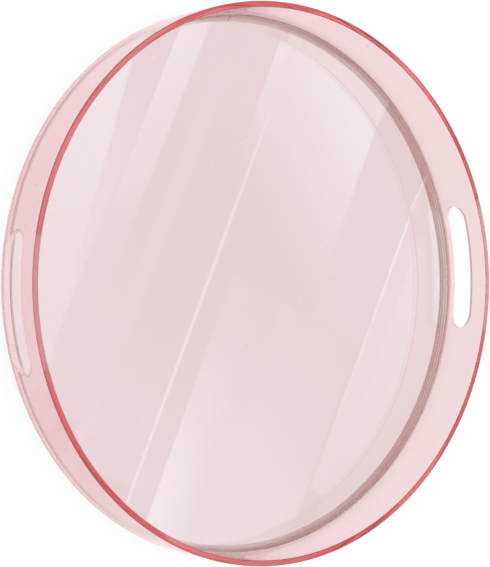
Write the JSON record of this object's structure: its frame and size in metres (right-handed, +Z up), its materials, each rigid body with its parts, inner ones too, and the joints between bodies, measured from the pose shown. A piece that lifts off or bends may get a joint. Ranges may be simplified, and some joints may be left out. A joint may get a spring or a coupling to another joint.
{
  "type": "round vanity tray",
  "caption": "Round clear-tinted tray for perfume and cosmetics, with an upright wall, hand slots on opposite sides and a low foot ring.",
  "frame": {"origin": "centre of the tray, on the surface that it stands on", "axes": "+Z up out of the tray; the hand slots lie on +X and -X"},
  "size_m": [0.3048, 0.3048, 0.038],
  "materials": {
    "wall_sheet": "polished transparent rose acrylic, edges glow coral",
    "floor_sheet": "polished transparent rose acrylic",
    "cement": "cured clear cement, rose brown where it gathers",
    "foot_silicone": "soft translucent grey silicone, satin"
  },
  "bodies": {
    "root": {"wall_ring": "wall_sheet", "floor_plate": "floor_sheet", "cement_bead": "cement", "foot_ring": "foot_silicone"}
  },
  "joints": []
}
